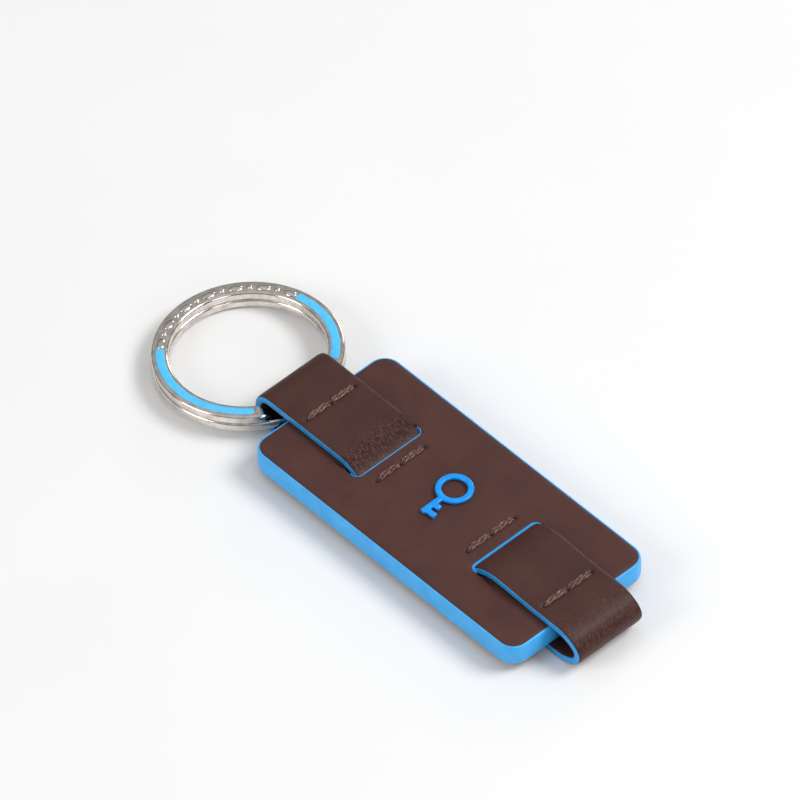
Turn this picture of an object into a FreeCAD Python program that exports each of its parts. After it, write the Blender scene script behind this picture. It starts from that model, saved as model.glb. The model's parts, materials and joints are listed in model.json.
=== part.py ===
import FreeCAD, Part
import math
import os

from FreeCAD import Placement, Rotation, Vector

# Keychain: a stitched leather fob, one strap threaded through it, and a flat-wire split ring.
# Row frame: +X from the ring to the open strap loop, +Y across the fob, +Z up.
# The origin is under the middle of the whole object, on the surface that it lies on.

doc = FreeCAD.newDocument("keychain")
sheet = doc.addObject("Spreadsheet::Sheet", "sizes")

SIZES = [
    # fob
    ("fob_x", 12.7), ("fob_length", 61.6), ("fob_width", 30.0), ("fob_corner", 2.9),
    ("leather_thick", 1.2), ("core_thick", 1.9), ("band_thick", 0.4), ("band_round", 0.38),
    # strap
    ("strap_thick", 1.5), ("strap_width", 14.2), ("strap_paint", 0.25), ("strap_split_x", -18.1),
    ("ring_loop_reach", 38.65), ("ring_loop_bend", 2.3),
    # where the strap leaves the fob's face at the open loop, from the fob's middle, and its bends
    ("nose_start_x", 34.4), ("nose_x", 39.5), ("nose_bend", 1.9), ("nose_sweep", 6.0),
    ("rise_start_x", 26.5), ("rise_end_x", 20.5), ("rise_bend", 30.0), ("rise_height", 0.4),
    ("dive_slack", 0.62), ("tail_bend", 1.3), ("ring_dive_bend", 6.0), ("loop_dive_bend", 7.0),
    # slots in the front leather, by the edge where the tail dives under, from the fob's middle
    ("ring_slot_x", -14.0), ("loop_slot_x", 12.9), ("slot_span", 4.7), ("slot_width", 14.6),
    ("slot_paint", 0.3), ("slot_paint_deep", 0.45), ("slot_corner", 0.4), ("skive_run", 1.3),
    ("tail_length", 6.0), ("recess_extra", 0.4),
    # stitches, placed from the fob's middle
    ("stitch_pitch", 5.3), ("thread_r", 0.45), ("thread_rise", 0.05), ("thread_clear", 0.03),
    ("thread_turn", 0.9), ("shank_r", 0.38),
    ("outer_stitch_x", 28.0), ("ring_stitch_x", -11.35), ("loop_stitch_x", 9.9),
    # emblem, placed from the fob's middle
    ("emblem_x", -1.0), ("emblem_wire_r", 0.55), ("emblem_bow_r", 2.7), ("emblem_bow_y", 2.25),
    ("emblem_shaft_end", 5.0), ("emblem_bit_long", 2.2), ("emblem_bit_short", 1.5), ("emblem_bit_pitch", 1.7),
    ("emblem_tip_length", 0.8),
    ("emblem_lift", 0.44),
    ("prong_r", 0.4), ("prong_clear", 0.03), ("plate_length", 12.0), ("plate_width", 2.6), ("plate_thick", 0.4),
    ("plate_corner", 1.15),
    # split ring
    ("ring_from_fob", 47.7), ("ring_outer", 16.0), ("ring_inner", 13.1), ("turn_thick", 1.62),
    ("turn_gap", 0.06), ("ring_shoulder", 0.5), ("ring_tilt", 4.2), ("turn_end_angle", 34.0),
    # enamel inlays and the raised beads between them
    ("inlay_middle", 14.45), ("inlay_half_width", 0.7), ("inlay_deep", 0.3),
    ("near_inlay_start", -133.0), ("near_inlay_end", -42.0), ("far_inlay_start", 38.0), ("far_inlay_end", 100.0),
    ("bead_band_start", 108.0), ("bead_band_end", 219.0), ("bead_r", 0.5), ("bead_count", 13),
]
for row, (alias, number) in enumerate(SIZES, start=1):
    sheet.set("A%d" % row, alias)
    sheet.set("B%d" % row, str(number))
    sheet.setAlias("B%d" % row, alias)
doc.recompute()


def size(alias):
    return float(getattr(sheet, alias))


def sized(target, prop, alias):
    target.setExpression(prop, "sizes." + alias)


BACK_Z = size("strap_thick")
CORE_Z = BACK_Z + size("leather_thick")
FRONT_Z = CORE_Z + size("core_thick")
FOB_TOP = FRONT_Z + size("leather_thick")
FOB_X = size("fob_x")
STRAP_HALF = size("strap_thick") / 2
LOW_RUN_Z = STRAP_HALF
TOP_RUN_Z = FOB_TOP + STRAP_HALF
TAIL_Z = FRONT_Z - STRAP_HALF

nodes = []


def node(feature, label):
    feature.Label = label
    nodes.append(feature)
    return feature


# ---- sketch helpers --------------------------------------------------------------------------

def new_body(name):
    return doc.addObject("PartDesign::Body", name)


def new_sketch(body, name, role, geometry, offset=0.0):
    sketch = body.newObject("Sketcher::SketchObject", name)
    plane = [item for item in body.Origin.OriginFeatures if item.Role == role][0]
    sketch.AttachmentSupport = [(plane, "")]
    sketch.MapMode = "FlatFace"
    sketch.AttachmentOffset = Placement(Vector(0, 0, offset), Rotation())
    sketch.addGeometry(geometry, False)
    return sketch


def new_pad(body, name, sketch, alias, symmetric=False):
    pad = body.newObject("PartDesign::Pad", name)
    pad.Profile = (sketch, [""])
    sized(pad, "Length", alias)
    if symmetric:
        pad.SideType = "Symmetric"
    return pad


def rounded_rectangle(middle_x, length, width, corner):
    low_x, high_x = middle_x - length / 2, middle_x + length / 2
    half = width / 2
    centres = [
        (high_x - corner, half - corner, 0), (low_x + corner, half - corner, 90),
        (low_x + corner, corner - half, 180), (high_x - corner, corner - half, 270),
    ]
    ends = []
    edges = []
    for x, y, start in centres:
        turn = [Vector(x + corner * math.cos(math.radians(start + step)),
                       y + corner * math.sin(math.radians(start + step)), 0) for step in (0, 45, 90)]
        edges.append(Part.Arc(*turn))
        ends.append((turn[0], turn[2]))
    for index in range(4):
        edges.append(Part.LineSegment(ends[index][1], ends[(index + 1) % 4][0]))
    return edges


def cut(name, base, tools):
    if len(tools) == 1:
        tool = tools[0]
    else:
        tool = doc.addObject("Part::MultiFuse", name + "_tools")
        tool.Shapes = tools
    result = doc.addObject("Part::Cut", name)
    result.Base = base
    result.Tool = tool
    return result


def plate(name, z, alias, length, width, corner):
    body = new_body(name)
    sketch = new_sketch(body, name + "_outline", "XY_Plane", rounded_rectangle(FOB_X, length, width, corner), z)
    new_pad(body, name + "_pad", sketch, alias)
    return body


def box(name, low_x, high_x, width, low_z, high_z):
    block = doc.addObject("Part::Box", name)
    block.Length = high_x - low_x
    block.Width = width
    block.Height = high_z - low_z
    block.Placement = Placement(Vector(low_x, -width / 2, low_z), Rotation())
    return block


# ---- strap profile ---------------------------------------------------------------------------

def centre_line(corners):
    """Straight runs and tangent arcs through (x, z, bend radius) corners."""
    pieces = []
    start = Vector(corners[0][0], corners[0][1], 0)
    for before, here, after in zip(corners, corners[1:], corners[2:]):
        corner = Vector(here[0], here[1], 0)
        inward = (corner - Vector(before[0], before[1], 0)).normalize()
        outward = (Vector(after[0], after[1], 0) - corner).normalize()
        turn = math.atan2(inward.x * outward.y - inward.y * outward.x, inward.dot(outward))
        reach = here[2] * math.tan(abs(turn) / 2)
        arc_start = corner - inward * reach
        arc_end = corner + outward * reach
        side = math.copysign(1, turn)
        centre = arc_start + Vector(-inward.y, inward.x, 0) * side * here[2]
        pieces.append(("run", start, arc_start))
        pieces.append(("bend", arc_start, arc_end, centre, side))
        start = arc_end
    pieces.append(("run", start, Vector(corners[-1][0], corners[-1][1], 0)))
    return pieces


def offset_side(pieces, offset):
    """The centre line moved to its left by offset."""
    edges = []
    for piece in pieces:
        if piece[0] == "run":
            direction = (piece[2] - piece[1]).normalize()
            shift = Vector(-direction.y, direction.x, 0) * offset
            edges.append(Part.LineSegment(piece[1] + shift, piece[2] + shift))
            continue
        start, end, centre, side = piece[1:]
        radius = (start - centre).Length
        scale = (radius - offset * side) / radius
        middle = ((start + end) / 2 - centre).normalize() * radius * scale
        edges.append(Part.Arc(centre + (start - centre) * scale, centre + middle, centre + (end - centre) * scale))
    return edges


def ribbon(corners):
    pieces = centre_line(corners)
    left = offset_side(pieces, STRAP_HALF)
    right = offset_side(pieces, -STRAP_HALF)
    caps = [Part.LineSegment(left[0].StartPoint, right[0].StartPoint),
            Part.LineSegment(left[-1].EndPoint, right[-1].EndPoint)]
    return left + right + caps


def slot_dive(slot_x, way, run_z, bend):
    """Corners that take the strap from the face, down through a slot and into its tail.

    way is +1 where the tail points to +X. The strap passes the slot's lip at 45 degrees.
    """
    lip = FOB_X + slot_x
    slack = size("dive_slack")
    shift = STRAP_HALF * math.sqrt(2)
    steep = lip - way * (slack + shift)
    top = (steep - way * (run_z - FOB_TOP), run_z, bend)
    low = (steep + way * (FOB_TOP - TAIL_Z), TAIL_Z, size("tail_bend"))
    end = (lip + way * size("tail_length"), TAIL_Z)
    return top, low, end


def strap_piece(name, corners):
    """One leather stretch and the paint on its two long edges, all with the same profile."""
    paint = size("strap_paint")
    width = size("strap_width") - 2 * paint
    leather = new_body(name + "_body")
    sketch = new_sketch(leather, name + "_profile", "XZ_Plane", ribbon(corners))
    pad = leather.newObject("PartDesign::Pad", name + "_pad")
    pad.Profile = (sketch, [""])
    pad.SideType = "Symmetric"
    pad.setExpression("Length", "sizes.strap_width - 2 * sizes.strap_paint")
    layers = []
    for side, start in (("near", width / 2), ("far", -width / 2 - paint)):
        layer = new_body(name + "_" + side)
        outline = new_sketch(layer, name + "_" + side + "_profile", "XZ_Plane", ribbon(corners), start)
        new_pad(layer, name + "_" + side + "_pad", outline, "strap_paint")
        layers.append(layer)
    both = doc.addObject("Part::Compound", name + "_layers")
    both.Links = layers
    return leather, both


# ---- stitches --------------------------------------------------------------------------------

def stitch_row(name, x, low_z, high_z, extra):
    """Two spans above, two below and three shanks, as round thread of radius thread_r + extra.

    The middle shank is pulled a little thinner than the spans that it runs into.
    """
    radius = size("thread_r") + extra
    pitch = size("stitch_pitch")
    body = new_body(name + "_body")
    loop = rounded_rectangle(0, 2 * pitch, high_z - low_z, size("thread_turn"))
    route = new_sketch(body, name + "_route", "YZ_Plane", loop, x)
    route.AttachmentOffset = Placement(Vector(0, (low_z + high_z) / 2, x), Rotation())
    section = Part.Circle(Vector(x, high_z, 0), Vector(0, 0, 1), radius)
    pipe = body.newObject("PartDesign::AdditivePipe", name + "_pipe")
    section_y = 0.3 * pitch
    pipe.Profile = (new_sketch(body, name + "_section", "XZ_Plane", [section], section_y), [""])
    pipe.Spine = (route, [""])
    shank = Part.Circle(Vector(x, 0, 0), Vector(0, 0, 1), size("shank_r") + extra)
    pad = body.newObject("PartDesign::Pad", name + "_shank")
    pad.Profile = (new_sketch(body, name + "_middle", "XY_Plane", [shank], low_z), [""])
    pad.Length = high_z - low_z
    return body


RISE = size("thread_rise")
SUNK = size("thread_r") + RISE
STRAP_TOP = FOB_TOP + size("strap_thick")
ROWS = {
    "stitches_ring_outer": (-size("outer_stitch_x"), SUNK, STRAP_TOP + RISE),
    "stitches_ring_inner": (size("ring_stitch_x"), FRONT_Z - size("strap_thick") + SUNK, FOB_TOP + RISE),
    "stitches_loop_inner": (size("loop_stitch_x"), FRONT_Z - size("strap_thick") + SUNK, FOB_TOP + RISE),
    "stitches_loop_outer": (size("outer_stitch_x"), SUNK, STRAP_TOP + RISE),
}
channel = {}
for row_name, (row_x, row_low, row_high) in ROWS.items():
    node(stitch_row(row_name, FOB_X + row_x, row_low, row_high, 0.0), row_name)
    channel[row_name] = stitch_row(row_name + "_channel", FOB_X + row_x, row_low, row_high, size("thread_clear"))

# ---- emblem: a plain key shape in round wire, held by two prongs -----------------------------

EMBLEM_X = FOB_X + size("emblem_x")
WIRE_Z = FOB_TOP + size("emblem_lift")
BOW_Y = size("emblem_bow_y")
SHAFT_TOP = BOW_Y - size("emblem_bow_r")
SHAFT_END = -size("emblem_shaft_end")


def wire_rod(name, start, end):
    span = Vector(end) - Vector(start)
    item = doc.addObject("Part::Cylinder", name)
    sized(item, "Radius", "emblem_wire_r")
    item.Height = span.Length
    item.Placement = Placement(Vector(start), Rotation(Vector(0, 0, 1), span))
    return item


def wire_end(name, at):
    item = doc.addObject("Part::Sphere", name)
    sized(item, "Radius", "emblem_wire_r")
    item.Placement = Placement(Vector(at), Rotation())
    return item


def prong_set(name, clearance):
    prongs = []
    for tag, y in (("_bow", BOW_Y + size("emblem_bow_r")), ("_shaft", SHAFT_END)):
        item = doc.addObject("Part::Cylinder", name + tag)
        item.setExpression("Radius", "sizes.prong_r + %s" % clearance)
        item.Height = WIRE_Z - FRONT_Z + size("plate_thick")
        item.Placement = Placement(Vector(EMBLEM_X, y, FRONT_Z - size("plate_thick")), Rotation())
        prongs.append(item)
    return prongs


def build_emblem():
    bow = doc.addObject("Part::Torus", "emblem_bow")
    sized(bow, "Radius1", "emblem_bow_r")
    sized(bow, "Radius2", "emblem_wire_r")
    bow.Placement = Placement(Vector(EMBLEM_X, BOW_Y, WIRE_Z), Rotation())
    wires = [bow]
    wires.append(wire_rod("emblem_shaft", (EMBLEM_X, SHAFT_TOP, WIRE_Z), (EMBLEM_X, SHAFT_END, WIRE_Z)))
    wires.append(wire_end("emblem_shaft_tip", (EMBLEM_X, SHAFT_END, WIRE_Z)))
    first_bit = SHAFT_END + size("emblem_tip_length")
    bits = (("long", first_bit, size("emblem_bit_long")),
            ("short", first_bit + size("emblem_bit_pitch"), size("emblem_bit_short")))
    for tag, y, reach in bits:
        wires.append(wire_rod("emblem_bit_" + tag, (EMBLEM_X, y, WIRE_Z), (EMBLEM_X + reach, y, WIRE_Z)))
        wires.append(wire_end("emblem_tip_" + tag, (EMBLEM_X + reach, y, WIRE_Z)))
    glyph = doc.addObject("Part::MultiFuse", "emblem_wire")
    glyph.Shapes = wires
    under = box("emblem_flat", EMBLEM_X - 10, EMBLEM_X + 10, 20, FRONT_Z, FOB_TOP)
    flat = cut("emblem_seated", glyph, [under])
    whole = doc.addObject("Part::MultiFuse", "emblem_whole")
    whole.Shapes = [flat] + prong_set("emblem_prong", 0.0)
    return whole


def backing_plate(name, holes):
    length, width = size("plate_length"), size("plate_width")
    middle_y = (BOW_Y + size("emblem_bow_r") + SHAFT_END) / 2
    body = new_body(name + "_body")
    outline = rounded_rectangle(0, length, width, size("plate_corner"))
    sketch = new_sketch(body, name + "_outline", "XY_Plane", outline)
    new_pad(body, name + "_pad", sketch, "plate_thick")
    turned = Placement(Vector(EMBLEM_X, middle_y, FRONT_Z - size("plate_thick")), Rotation(Vector(0, 0, 1), 90))
    body.Placement = turned
    return cut(name, body, holes) if holes else body


node(build_emblem(), "emblem")
prong_holes = prong_set("prong_hole", size("prong_clear"))
node(backing_plate("backing_plate", prong_holes), "emblem_backing_plate")
plate_recess = backing_plate("plate_recess", [])

# ---- fob: two leathers, core board, edge paint -----------------------------------------------

FOB_SIZE = (size("fob_length"), size("fob_width"), size("fob_corner"))
SLOTS = {"ring_end": (size("ring_slot_x"), 1), "loop_end": (size("loop_slot_x"), -1)}


def slot_opening(name, slot_x, way, margin, low_z, alias):
    """A block the shape of the slot, margin larger all round."""
    middle = FOB_X + slot_x - way * size("slot_span") / 2
    body = new_body(name)
    outline = rounded_rectangle(middle, size("slot_span") + 2 * margin, size("slot_width") + 2 * margin,
                                size("slot_corner") + margin)
    sketch = new_sketch(body, name + "_outline", "XY_Plane", outline, low_z)
    new_pad(body, name + "_pad", sketch, alias)
    return body


def lip_skive(name, slot_x, way):
    """The wedge pared off the lip's underside, where the strap turns into its tail."""
    lip = FOB_X + slot_x + way * size("slot_paint")
    under_paint = FOB_TOP - size("slot_paint_deep")
    points = [Vector(lip, under_paint, 0), Vector(lip + way * size("skive_run"), FRONT_Z, 0),
              Vector(lip, FRONT_Z, 0)]
    edges = [Part.LineSegment(points[index], points[(index + 1) % 3]) for index in range(3)]
    body = new_body(name)
    sketch = new_sketch(body, name + "_profile", "XZ_Plane", edges)
    new_pad(body, name + "_pad", sketch, "slot_width", symmetric=True)
    return body


front_tools = [channel[name] for name in ROWS] + prong_holes
core_tools = [channel["stitches_ring_outer"], channel["stitches_loop_outer"], plate_recess]
for end_name, (slot_x, way) in SLOTS.items():
    margin = size("slot_paint")
    paint_z = FOB_TOP - size("slot_paint_deep")
    front_tools.append(slot_opening("cut_" + end_name, slot_x, way, margin, FRONT_Z, "leather_thick"))
    front_tools.append(lip_skive("skive_" + end_name, slot_x, way))
    rim = slot_opening("rim_" + end_name, slot_x, way, margin, paint_z, "slot_paint_deep")
    clear = slot_opening("clear_" + end_name, slot_x, way, 0.0, paint_z, "slot_paint_deep")
    node(cut("slot_paint_" + end_name, rim, [clear]), "slot_paint_" + end_name)
    tail_tip = FOB_X + slot_x + way * (size("tail_length") + size("recess_extra"))
    tail_start = FOB_X + slot_x - way * (size("slot_span") - size("recess_extra"))
    core_tools.append(box("recess_" + end_name, min(tail_tip, tail_start), max(tail_tip, tail_start),
                          size("slot_width"), FRONT_Z - size("strap_thick"), FRONT_Z))

back_body = plate("back_plate", BACK_Z, "leather_thick", *FOB_SIZE)
core_body = plate("core_plate", CORE_Z, "core_thick", *FOB_SIZE)
front_body = plate("front_plate", FRONT_Z, "leather_thick", *FOB_SIZE)
node(cut("back_leather", back_body, [channel["stitches_ring_outer"], channel["stitches_loop_outer"]]),
     "back_leather")
node(cut("core_board", core_body, core_tools), "core_board")
node(cut("front_leather", front_body, front_tools), "front_leather")


def build_edge_paint():
    """A rounded band round all three layers."""
    band = size("band_thick")
    sheet_text = "sizes.core_thick + 2 * sizes.leather_thick"
    outer = new_body("band_outer")
    outline = rounded_rectangle(FOB_X, FOB_SIZE[0] + 2 * band, FOB_SIZE[1] + 2 * band, FOB_SIZE[2] + band)
    outer_pad = new_pad(outer, "band_outer_pad", new_sketch(outer, "band_outline", "XY_Plane", outline, BACK_Z),
                        "core_thick")
    outer_pad.setExpression("Length", sheet_text)
    doc.recompute()
    rims = ["Edge%d" % (index + 1) for index, edge in enumerate(outer_pad.Shape.Edges)
            if edge.BoundBox.ZLength < 1e-6]
    rounded = outer.newObject("PartDesign::Fillet", "band_rounding")
    rounded.Base = (outer_pad, rims)
    sized(rounded, "Radius", "band_round")
    inner = new_body("band_inner")
    inner_outline = rounded_rectangle(FOB_X, *FOB_SIZE)
    inner_pad = new_pad(inner, "band_inner_pad",
                        new_sketch(inner, "band_inner_outline", "XY_Plane", inner_outline, BACK_Z), "core_thick")
    inner_pad.setExpression("Length", sheet_text)
    return cut("edge_band", outer, [inner])


node(build_edge_paint(), "fob_edge_paint")

# ---- strap: three stretches of one leather ---------------------------------------------------

SPLIT_X = size("strap_split_x")
RING_END = FOB_X - size("ring_loop_reach")
BIGHT_BEND = size("ring_loop_bend")
ring_dive = slot_dive(size("ring_slot_x"), 1, TOP_RUN_Z, size("ring_dive_bend"))
ring_end_path = [(SPLIT_X, TOP_RUN_Z), ring_dive[0], ring_dive[1], ring_dive[2]]
bight_path = [(SPLIT_X, LOW_RUN_Z), (RING_END + STRAP_HALF, LOW_RUN_Z, BIGHT_BEND),
              (RING_END + STRAP_HALF, TOP_RUN_Z, BIGHT_BEND), (SPLIT_X, TOP_RUN_Z)]
HUMP_Z = TOP_RUN_Z + size("rise_height")
loop_dive = slot_dive(size("loop_slot_x"), -1, HUMP_Z, size("loop_dive_bend"))
NOSE_Z = (TOP_RUN_Z + LOW_RUN_Z) / 2
loop_end_path = [
    (SPLIT_X, LOW_RUN_Z),
    (FOB_X + size("nose_start_x"), LOW_RUN_Z, size("nose_sweep")),
    (FOB_X + size("nose_x"), NOSE_Z, size("nose_bend")),
    (FOB_X + size("nose_start_x"), TOP_RUN_Z, size("nose_sweep")),
    (FOB_X + size("rise_start_x"), TOP_RUN_Z, size("rise_bend")),
    (FOB_X + size("rise_end_x"), HUMP_Z, size("rise_bend")),
    loop_dive[0], loop_dive[1], loop_dive[2],
]
STRETCHES = [
    ("strap_ring_end", ring_end_path, ["stitches_ring_outer", "stitches_ring_inner"]),
    ("strap_ring_loop", bight_path, []),
    ("strap_loop_end", loop_end_path, list(ROWS)),
]
for strap_name, path, row_names in STRETCHES:
    leather, layers = strap_piece(strap_name, path)
    if row_names:
        leather = cut(strap_name + "_pierced", leather, [channel[item] for item in row_names])
    node(leather, strap_name)
    node(layers, strap_name + "_paint")

# ---- split ring ------------------------------------------------------------------------------

OUTER, INNER = size("ring_outer"), size("ring_inner")
TURN, SHOULDER = size("turn_thick"), size("ring_shoulder")
HALF_STACK = TURN + size("turn_gap") / 2
END_ANGLE = size("turn_end_angle")
TILT = math.radians(size("ring_tilt"))
RING_X = FOB_X - size("ring_from_fob")
RING_Z = ((OUTER - SHOULDER) * math.sin(TILT) + (HALF_STACK - SHOULDER) * math.cos(TILT) + SHOULDER)
RING_PLACE = Placement(Vector(RING_X, 0, RING_Z), Rotation(Vector(0, 1, 0), -size("ring_tilt")))


def wire_section(angle, low_z):
    """The flat wire's outline in the radial plane at an angle, with rounded outer corners."""
    radial = Vector(math.cos(math.radians(angle)), math.sin(math.radians(angle)), 0)
    up = Vector(0, 0, 1)
    corners = [(INNER, low_z), (OUTER, low_z), (OUTER, low_z + TURN), (INNER, low_z + TURN)]
    steps = [Vector(1, 0), Vector(0, 1), Vector(-1, 0), Vector(0, -1)]
    points = []
    for (radius, z), before, after in zip(corners, [steps[3]] + steps[:3], steps):
        here = Vector(radius, z)
        blend = SHOULDER * (1 - math.sqrt(0.5))
        inner_way = (after - before) * blend
        points.append((here - before * SHOULDER, here + inner_way, here + after * SHOULDER))

    def lift(flat):
        return radial * flat.x + up * flat.y

    edges = []
    for index, (start, middle, end) in enumerate(points):
        edges.append(Part.Arc(lift(start), lift(middle), lift(end)).toShape())
        edges.append(Part.makeLine(lift(end), lift(points[(index + 1) % 4][0])))
    return Part.Wire(edges)


def build_coil():
    """Two flat turns and the crossover ramp that joins the lower one to the upper one."""
    low, high = -HALF_STACK, HALF_STACK - TURN
    sweep = 360 - 2 * END_ANGLE
    axis = (Vector(0, 0, 0), Vector(0, 0, 1))
    turns = [Part.Face(wire_section(END_ANGLE, z)).revolve(*axis, sweep) for z in (low, high)]
    ramp_sections = []
    steps = 8
    for index in range(steps + 1):
        part = index / steps
        rise = part * part * (3 - 2 * part)
        ramp_sections.append(wire_section(-END_ANGLE + 2 * END_ANGLE * part, low + (high - low) * rise))
    ramp = Part.makeLoft(ramp_sections, True, False)
    return turns[0].fuse([ramp, turns[1]])


def arc_slot(name, start, end, low_z):
    """A round-ended pad that follows the ring, for an inlay or its groove."""
    half = size("inlay_half_width")
    middle = size("inlay_middle")

    def at(radius, angle):
        return Vector(radius * math.cos(math.radians(angle)), radius * math.sin(math.radians(angle)), 0)

    half_way = (start + end) / 2
    tip = math.degrees(half / middle)
    edges = [
        Part.Arc(at(middle + half, start), at(middle + half, half_way), at(middle + half, end)),
        Part.Arc(at(middle + half, end), at(middle, end + tip), at(middle - half, end)),
        Part.Arc(at(middle - half, end), at(middle - half, half_way), at(middle - half, start)),
        Part.Arc(at(middle - half, start), at(middle, start - tip), at(middle + half, start)),
    ]
    body = new_body(name)
    sketch = new_sketch(body, name + "_outline", "XY_Plane", edges, low_z)
    new_pad(body, name + "_pad", sketch, "inlay_deep")
    body.Placement = RING_PLACE
    return body


coil = doc.addObject("Part::Feature", "ring_coil")
coil.Shape = build_coil()
coil.Placement = RING_PLACE
GROOVE_Z = HALF_STACK - size("inlay_deep")
near_inlay = arc_slot("inlay_near", size("near_inlay_start"), size("near_inlay_end"), GROOVE_Z)
far_inlay = arc_slot("inlay_far", size("far_inlay_start"), size("far_inlay_end"), GROOVE_Z)
bead_groove = arc_slot("bead_groove", size("bead_band_start"), size("bead_band_end"), GROOVE_Z)
beads = []
bead_total = int(size("bead_count"))
for index in range(bead_total):
    share = index / (bead_total - 1)
    turn_angle = size("bead_band_start") + share * (size("bead_band_end") - size("bead_band_start"))
    bead = doc.addObject("Part::Cylinder", "bead%d" % index)
    sized(bead, "Radius", "bead_r")
    sized(bead, "Height", "inlay_deep")
    spot = Rotation(Vector(0, 0, 1), turn_angle).multVec(Vector(size("inlay_middle"), 0, GROOVE_Z))
    bead.Placement = RING_PLACE.multiply(Placement(spot, Rotation()))
    beads.append(bead)
grooved = cut("ring_grooved", coil, [near_inlay, far_inlay, bead_groove])
whole_ring = doc.addObject("Part::MultiFuse", "ring_whole")
whole_ring.Shapes = [grooved] + beads
node(whole_ring, "split_ring")
node(near_inlay, "ring_enamel_near")
node(far_inlay, "ring_enamel_far")

# ---- check and write -------------------------------------------------------------------------

doc.recompute()
faults = [item.Name for item in doc.Objects if "Invalid" in item.State or "Error" in item.State]
for item in nodes:
    if item.Shape.isNull() or not item.Shape.isValid():
        faults.append(item.Label)
if faults:
    raise RuntimeError("faulty objects: " + ", ".join(faults))

os.makedirs("parts", exist_ok=True)
for item in nodes:
    item.Shape.exportStep("parts/" + item.Label + ".step")
    extent = item.Shape.BoundBox
    print("%-24s solids %d  volume %8.2f  x %.2f %.2f  z %.2f %.2f" % (
        item.Label, len(item.Shape.Solids), item.Shape.Volume, extent.XMin, extent.XMax, extent.ZMin, extent.ZMax))
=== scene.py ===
# %% [markdown]
# # A leather keychain
# A stitched leather fob, one strap threaded through it, and a flat-wire split ring.
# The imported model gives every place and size, so this script starts by loading it.
# Lengths are in metres, as everywhere in Blender. MM turns a maker's millimetres into metres.

# %% Load the frame
import json
import math

import bmesh
import bpy
from mathutils import Matrix, Vector, noise


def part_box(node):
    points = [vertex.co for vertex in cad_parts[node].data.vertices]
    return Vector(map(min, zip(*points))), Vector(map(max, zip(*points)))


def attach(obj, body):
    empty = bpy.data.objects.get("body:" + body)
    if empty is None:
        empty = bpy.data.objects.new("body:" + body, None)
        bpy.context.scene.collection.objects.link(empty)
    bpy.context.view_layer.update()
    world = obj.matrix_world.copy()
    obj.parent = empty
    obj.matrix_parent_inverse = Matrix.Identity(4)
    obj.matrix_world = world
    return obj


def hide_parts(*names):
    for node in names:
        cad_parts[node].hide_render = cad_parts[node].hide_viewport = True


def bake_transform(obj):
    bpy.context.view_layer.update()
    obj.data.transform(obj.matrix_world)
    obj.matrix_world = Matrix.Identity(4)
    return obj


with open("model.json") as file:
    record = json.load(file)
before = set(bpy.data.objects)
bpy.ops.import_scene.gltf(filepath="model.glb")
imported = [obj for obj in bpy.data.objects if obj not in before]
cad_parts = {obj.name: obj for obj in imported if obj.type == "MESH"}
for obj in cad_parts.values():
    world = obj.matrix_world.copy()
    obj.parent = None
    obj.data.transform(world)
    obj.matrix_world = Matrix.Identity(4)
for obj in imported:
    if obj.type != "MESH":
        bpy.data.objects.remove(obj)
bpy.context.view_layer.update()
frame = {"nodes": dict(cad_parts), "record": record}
MM = 0.001

# %% [markdown]
# ## Sizes taken from the frame
# The fob's box, its layers and the ring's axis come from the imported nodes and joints. The strap
# lies flat under the back leather, so the height of that leather's face is the strap's thickness.
# Only small things that the frame has no node for, such as a crease, get a number of their own.

# %% Sizes
FOB_LOW, FOB_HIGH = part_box("front_leather")
BACK_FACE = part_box("back_leather")[0][2]
BAND_LOW, BAND_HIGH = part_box("fob_edge_paint")
STRAP_LOW, STRAP_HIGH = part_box("strap_loop_end_paint")
RING_LOOP_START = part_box("strap_ring_loop")[0][0]
FOB_X = (FOB_LOW[0] + FOB_HIGH[0]) / 2
FOB_TOP = FOB_HIGH[2]
FOB_CORNER = 2.9 * MM
LEATHER = FOB_HIGH[2] - FOB_LOW[2]
STRAP_THICK = BACK_FACE
STRAP_WIDTH = STRAP_HIGH[1] - STRAP_LOW[1]
joints = {joint["name"]: joint for joint in frame["record"]["behaviour"]["joints"]}
RING_MIDDLE = Vector(joints["ring_spin"]["pos_m"])
RING_AXIS = Vector(joints["ring_spin"]["axis"]).normalized()
ring_tilt = Vector((0, 0, 1)).rotation_difference(RING_AXIS)
RING_PLACE = Matrix.Translation(RING_MIDDLE) @ ring_tilt.to_matrix().to_4x4()
print("fob top", FOB_TOP / MM, "strap", STRAP_WIDTH / MM, "ring", RING_MIDDLE / MM)

# %% [markdown]
# ## Camera, light and floor
# A long lens from far away keeps the fob's long edges nearly parallel.
# The key lamp stands behind and to the right, out of the direction that the flat leather mirrors to
# the camera, so the hide stays dark and its own colour shows. Two weaker lamps open up the painted
# edges that face the camera, and a low one behind draws thin light lines along the far edges.
# The room is dark low down and bright overhead, which gives the polished ring something to
# reflect. The Standard view keeps the blue of the paint as bright as it is mixed.

# %% Camera
CAMERA_TURN = math.radians(46.58)
CAMERA_RISE = math.radians(47.81)
CAMERA_AWAY = 3.2536
CAMERA_AIM = Vector((-1.6, 2.6, 16.85)) * MM
LENS = 900
SENSOR = 36
toward_camera = Vector((
    math.sin(CAMERA_TURN) * math.cos(CAMERA_RISE),
    -math.cos(CAMERA_TURN) * math.cos(CAMERA_RISE),
    math.sin(CAMERA_RISE),
))
camera_data = bpy.data.cameras.new("camera")
camera_data.lens = LENS
camera_data.sensor_width = SENSOR
camera_data.clip_start = 0.05
camera_data.clip_end = 50
camera = bpy.data.objects.new("camera", camera_data)
camera.location = CAMERA_AIM + toward_camera * CAMERA_AWAY
camera.rotation_euler = toward_camera.to_track_quat("Z", "Y").to_euler()
bpy.context.scene.collection.objects.link(camera)
bpy.context.scene.camera = camera


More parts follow.
